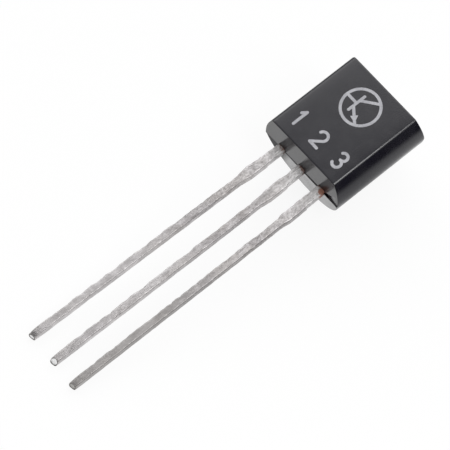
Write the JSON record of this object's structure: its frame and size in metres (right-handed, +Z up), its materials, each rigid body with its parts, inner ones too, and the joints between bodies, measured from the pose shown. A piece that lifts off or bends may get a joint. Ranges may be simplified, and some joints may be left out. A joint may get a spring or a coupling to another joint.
{
  "type": "to-92 transistor",
  "caption": "Small-signal transistor: D-shaped black moulded body with a marked flat and three long parallel tinned leads in a row.",
  "frame": {"origin": "bottom centre of the whole part's box, on the surface that the part lies on: it rests on the three lead tips and on the lower edge of the round back, with the marked flat up", "axes": "+X from the lead tips towards the body, +Y across the leads towards the emitter's side, +Z up. The leads slope 8.31 degrees down towards -X, as they lie, and the flat's normal leans by the same angle towards -X"},
  "size_m": [0.018, 0.0046, 0.0042],
  "materials": {
    "epoxy": "satin",
    "tin_plate": "satin",
    "silicon": "gloss",
    "solder": "satin",
    "gold": "polished",
    "ink": "matte"
  },
  "bodies": {
    "root": {"body": "epoxy", "emitter_lead": "tin_plate", "collector_lead": "tin_plate", "base_lead": "tin_plate", "silicon_chip": "silicon", "chip_solder": "solder", "emitter_wire": "gold", "base_wire": "gold", "marking": "ink"}
  },
  "joints": []
}
